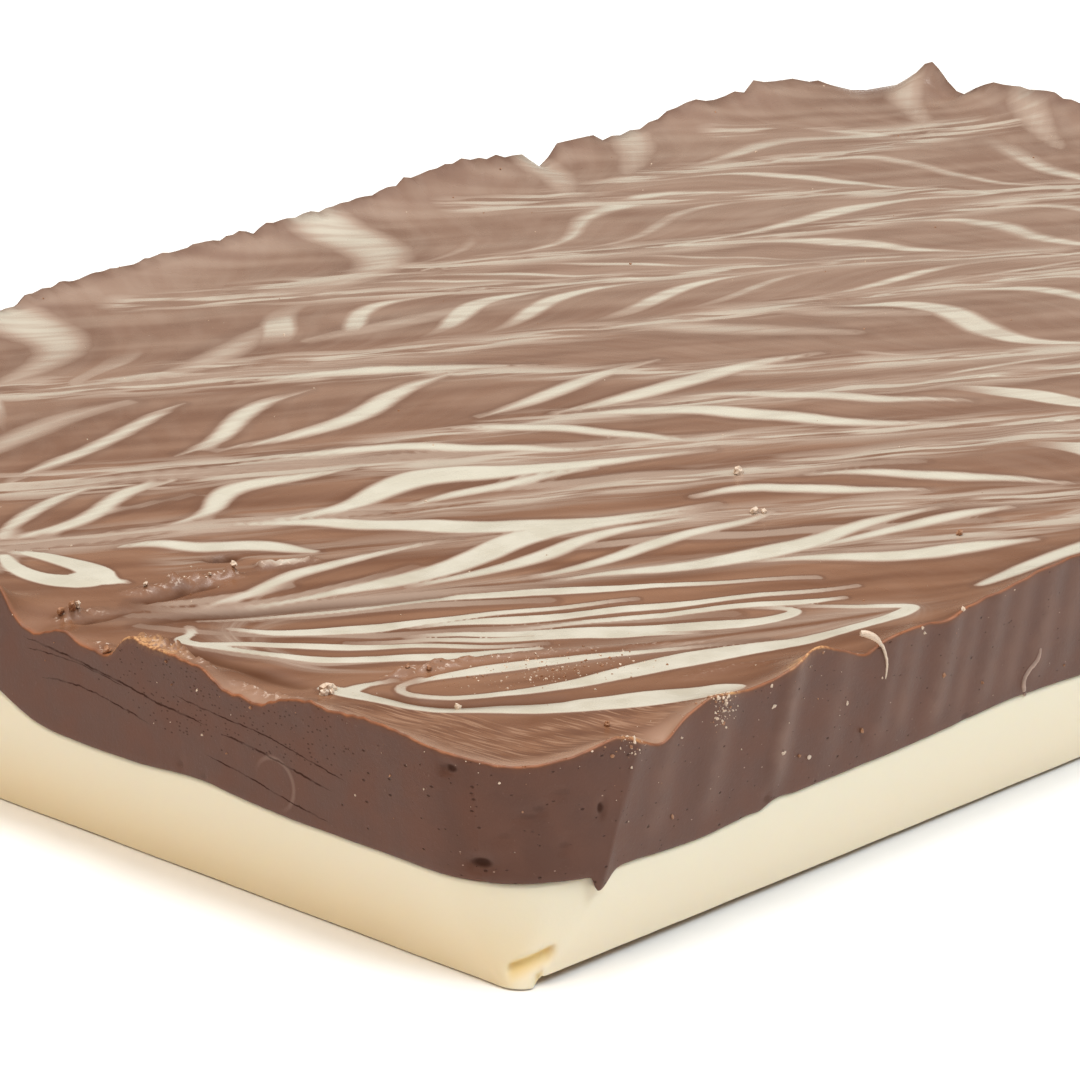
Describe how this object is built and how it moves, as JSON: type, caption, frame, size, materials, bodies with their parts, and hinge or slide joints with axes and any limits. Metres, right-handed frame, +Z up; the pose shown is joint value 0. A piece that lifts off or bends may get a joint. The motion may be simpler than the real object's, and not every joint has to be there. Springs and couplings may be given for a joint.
{
  "type": "fudge slab",
  "caption": "Slab of layered fudge: a cream base under thick chocolate, its top marbled with combed ivory strands inside a raised, craggy rim.",
  "frame": {"origin": "middle of the base, on the surface the slab lies on", "axes": "+X along the slab's length, +Y across its width, +Z up through the layers"},
  "size_m": [0.3008, 0.2025, 0.0319],
  "materials": {
    "cream_fudge": "smooth cream fudge with a waxy, slightly translucent face",
    "chocolate_fudge": "satin milk-chocolate fudge, its top marbled with ivory strands"
  },
  "bodies": {
    "root": {"cream_layer": "cream_fudge", "chocolate_layer": "chocolate_fudge"}
  },
  "joints": []
}
